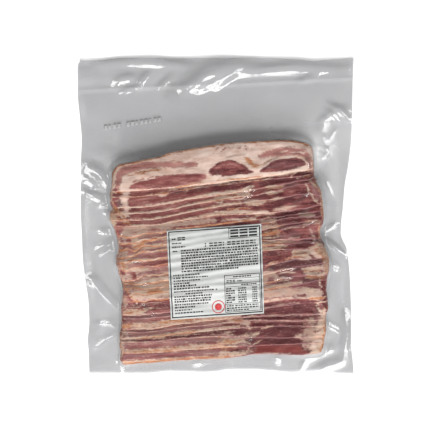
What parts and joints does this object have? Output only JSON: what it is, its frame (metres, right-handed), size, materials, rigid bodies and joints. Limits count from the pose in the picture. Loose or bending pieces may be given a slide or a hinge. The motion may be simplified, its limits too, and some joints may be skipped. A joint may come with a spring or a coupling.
{
  "type": "vacuum pack of sliced bacon",
  "caption": "Clear vacuum bag lying flat, drawn tight over a slab of shingled bacon rashers, with an empty sealed lip and a square paper label on the front.",
  "frame": {"origin": "centre of the bag's outline, on the plane of the flat underside it lies on", "axes": "+Y along the bag towards its open lip, +X to the right seen from the front, +Z out of the labelled front"},
  "size_m": [0.28, 0.32, 0.0245],
  "materials": {
    "film": "gloss",
    "bacon": "satin",
    "label": "satin"
  },
  "bodies": {
    "root": {"vacuum_bag": "film", "label": "label"}
  },
  "joints": []
}
